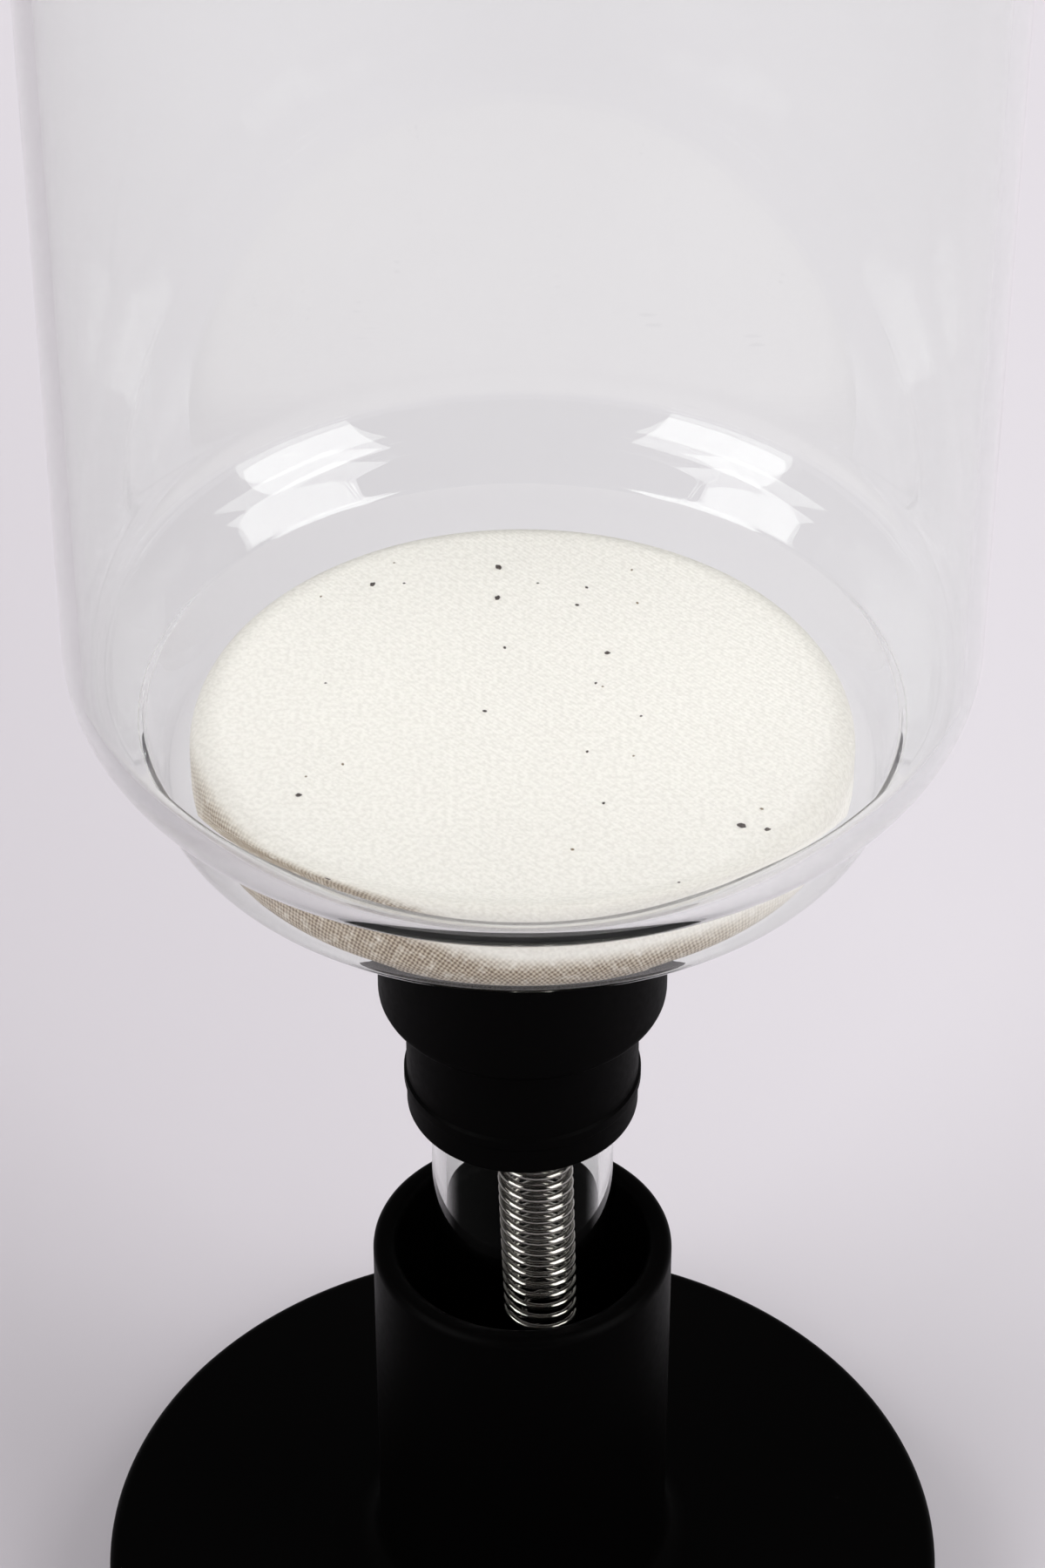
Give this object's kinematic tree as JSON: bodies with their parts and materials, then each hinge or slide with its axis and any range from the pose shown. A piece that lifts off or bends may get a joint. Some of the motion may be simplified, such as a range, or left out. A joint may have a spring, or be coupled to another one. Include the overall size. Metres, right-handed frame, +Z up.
{
  "type": "siphon coffee maker",
  "caption": "Clear glass siphon brewing chamber with a cloth filter, rubber gasket and a hooked spring chain in its tube, standing in a black lid with an open socket.",
  "frame": {"origin": "middle of the lid's underside, on the table", "axes": "+Z up along the tube, the picture looks along +Y from above"},
  "size_m": [0.0848, 0.0848, 0.2101],
  "materials": {
    "black_moulding": "smooth black moulding",
    "clear_glass": "clear, fire polished",
    "black_rubber": "smooth moulded rubber",
    "stainless_steel": "pressed and perforated",
    "cotton_flannel": "napped woven cotton with light coffee stains",
    "cotton_cord": "twisted cotton cord",
    "bright_steel": "bright drawn wire"
  },
  "bodies": {
    "stand": {"lid_stand": "black_moulding"},
    "chamber": {"brew_chamber": "clear_glass", "gasket": "black_rubber", "tension_spring": "bright_steel", "chain_coupling_top": "bright_steel", "chain_coupling_bottom": "bright_steel", "chain_beads": "bright_steel", "chain_links": "bright_steel", "tube_hook": "bright_steel"},
    "filter": {"filter_disc": "stainless_steel", "filter_cloth": "cotton_flannel", "cloth_drawstring": "cotton_cord", "filter_eyelet": "bright_steel", "eyelet_washer": "bright_steel"}
  },
  "joints": [
    {"name": "chamber_lift", "type": "slide", "parent": "stand", "child": "chamber", "axis": [0, 0, 1], "range_m": [0, 0.06]},
    {"name": "filter_lift", "type": "slide", "parent": "chamber", "child": "filter", "axis": [0, 0, 1], "range_m": [0, 0.008], "stiffness_N_per_m": 200, "springref_m": -0.02, "deforming": ["tension_spring"]}
  ]
}
